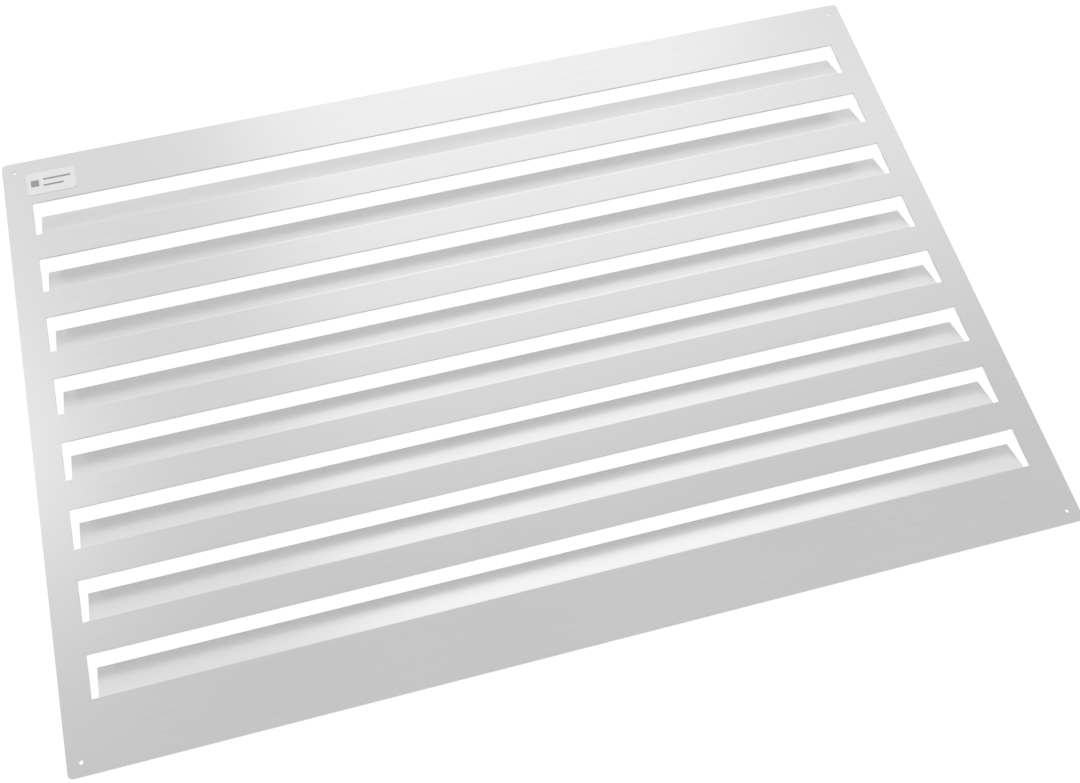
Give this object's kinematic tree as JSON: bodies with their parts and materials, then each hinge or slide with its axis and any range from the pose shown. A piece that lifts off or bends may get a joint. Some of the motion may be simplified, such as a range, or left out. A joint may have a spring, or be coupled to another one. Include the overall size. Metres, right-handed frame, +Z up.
{
  "type": "louvred sheet metal panel",
  "caption": "Thin flat sheet steel panel with long parallel louvres folded down from U-shaped cuts, rounded corners, small fixing holes and a blank label.",
  "frame": {"origin": "centre of the panel in plan, on the plane of the louvres' free edges that it rests on", "axes": "+X along the louvres, +Y from the front edge (fold side of each louvre) to the rear edge, +Z up, away from the louvres"},
  "size_m": [0.5, 0.35, 0.0088],
  "materials": {
    "sheet": "fine satin, cold rolled",
    "label": "matt printed film"
  },
  "bodies": {
    "root": {"louvred_panel": "sheet", "label_plate": "label"}
  },
  "joints": []
}
